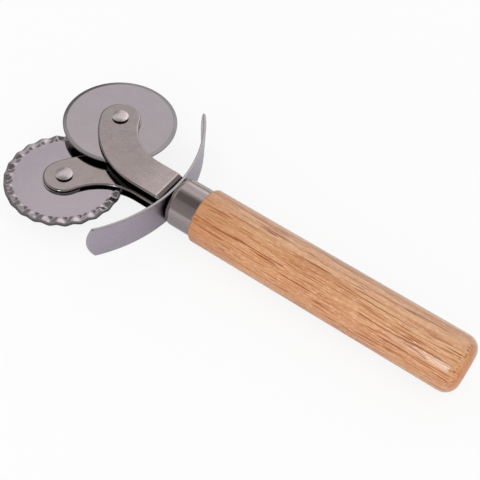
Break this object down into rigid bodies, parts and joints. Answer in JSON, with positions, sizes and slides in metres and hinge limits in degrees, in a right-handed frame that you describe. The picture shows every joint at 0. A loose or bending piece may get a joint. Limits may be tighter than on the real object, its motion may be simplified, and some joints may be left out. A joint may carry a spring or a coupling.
{
  "type": "double pastry wheel",
  "caption": "Pastry cutter with a straight varnished handle, steel ferrule and bowed guard; a plain and a fluted wheel spin side by side on stacked folded forks.",
  "frame": {"origin": "on the handle's axis, at the middle of its straight grip", "axes": "+X along the handle towards the wheels, +Z square to the wheels on the side of the plain wheel's fork"},
  "size_m": [0.1878, 0.0805, 0.0222],
  "materials": {
    "handle_wood": "glossy varnish",
    "ferrule_steel": "polished",
    "guard_steel": "satin",
    "fork_steel": "satin",
    "plain_wheel_steel": "satin, ground edge",
    "fluted_wheel_steel": "satin, bright flutes",
    "rivet_steel": "polished",
    "washer_steel": "bright",
    "hidden_steel": "mill"
  },
  "bodies": {
    "frame": {"handle": "handle_wood", "ferrule": "ferrule_steel", "guard": "guard_steel", "tang": "hidden_steel", "plain_fork": "fork_steel", "fluted_fork": "fork_steel", "plain_axle_rivet": "rivet_steel", "fluted_axle_rivet": "rivet_steel", "plain_bush": "hidden_steel", "fluted_bush": "hidden_steel", "plain_upper_washer": "washer_steel", "plain_lower_washer": "washer_steel", "fluted_upper_washer": "washer_steel", "fluted_lower_washer": "washer_steel"},
    "plain_wheel_body": {"plain_wheel": "plain_wheel_steel"},
    "fluted_wheel_body": {"fluted_wheel": "fluted_wheel_steel"}
  },
  "joints": [
    {"name": "plain_wheel_spin", "type": "hinge", "parent": "frame", "child": "plain_wheel_body", "pos_m": [0.1072, -0.0172, 0.0024], "axis": [0, 0, 1], "continuous": true},
    {"name": "fluted_wheel_spin", "type": "hinge", "parent": "frame", "child": "fluted_wheel_body", "pos_m": [0.1072, 0.0172, -0.0024], "axis": [0, 0, 1], "continuous": true}
  ]
}
